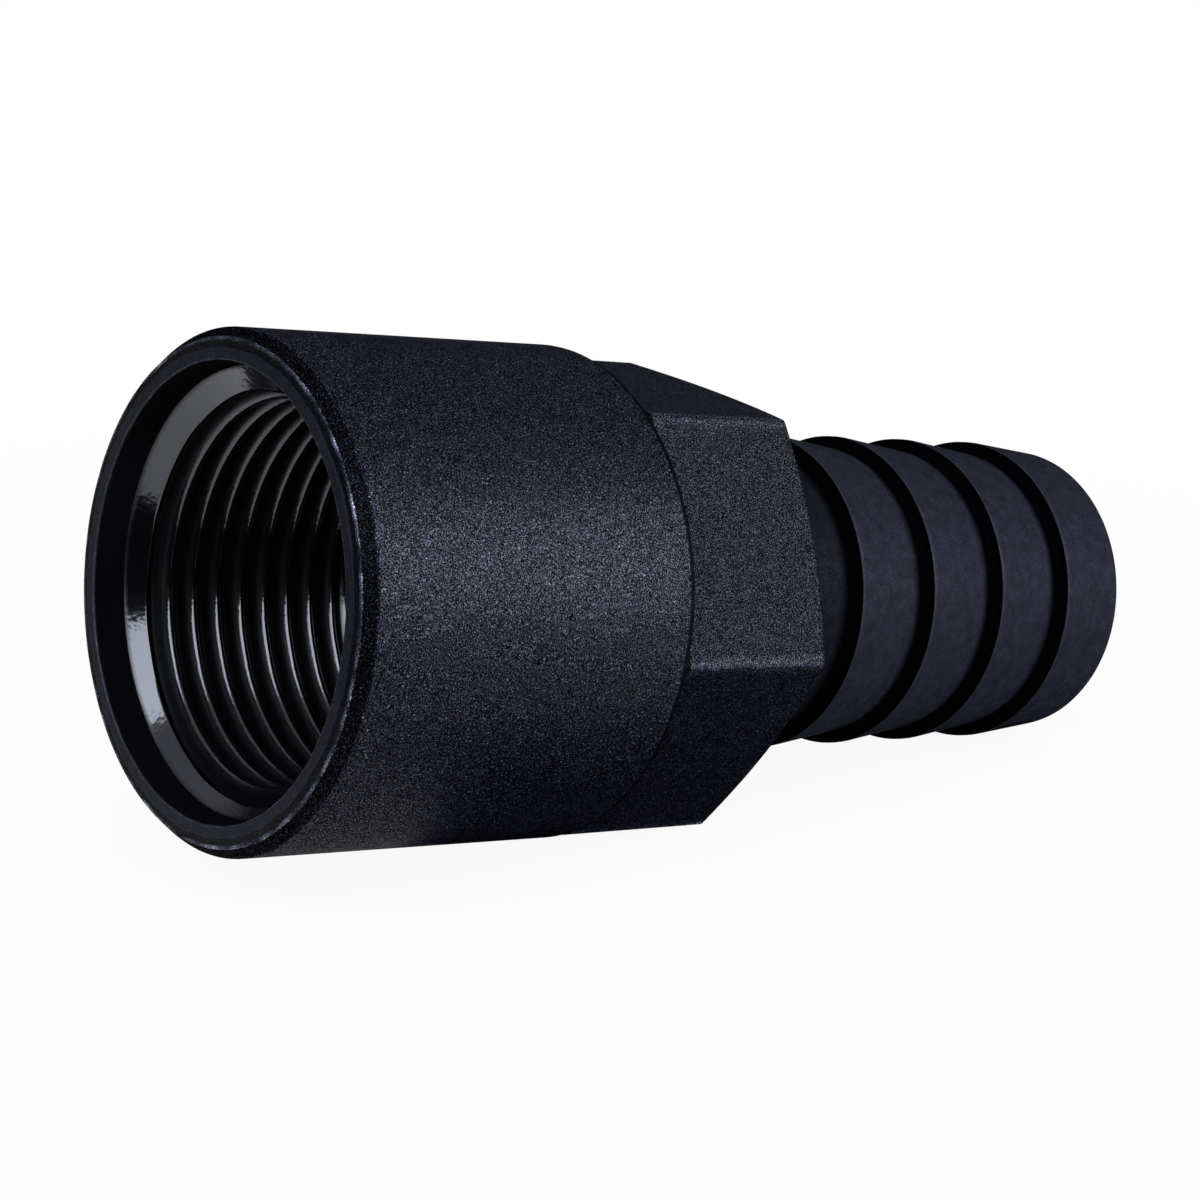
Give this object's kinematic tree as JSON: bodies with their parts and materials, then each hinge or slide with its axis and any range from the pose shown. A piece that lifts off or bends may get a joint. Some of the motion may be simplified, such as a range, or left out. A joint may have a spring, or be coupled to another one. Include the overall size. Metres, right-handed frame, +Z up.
{
  "type": "female threaded hose barb",
  "caption": "Straight plastic fitting with an internally threaded socket, a hexagon for a spanner and a barbed tail that holds a hose.",
  "frame": {"origin": "on the floor, below the middle of the part's box, with the part lying on its side at rest", "axes": "+Z up; the bore runs from the threaded mouth towards +X and dips by 6.9 degrees; +Y across, away from the picture's camera"},
  "size_m": [0.095, 0.0412, 0.0444],
  "materials": {
    "black_plastic": "fine moulded grain outside, satin on the tail, smooth and glossy in the bore"
  },
  "bodies": {
    "root": {"hose_barb": "black_plastic"}
  },
  "joints": []
}
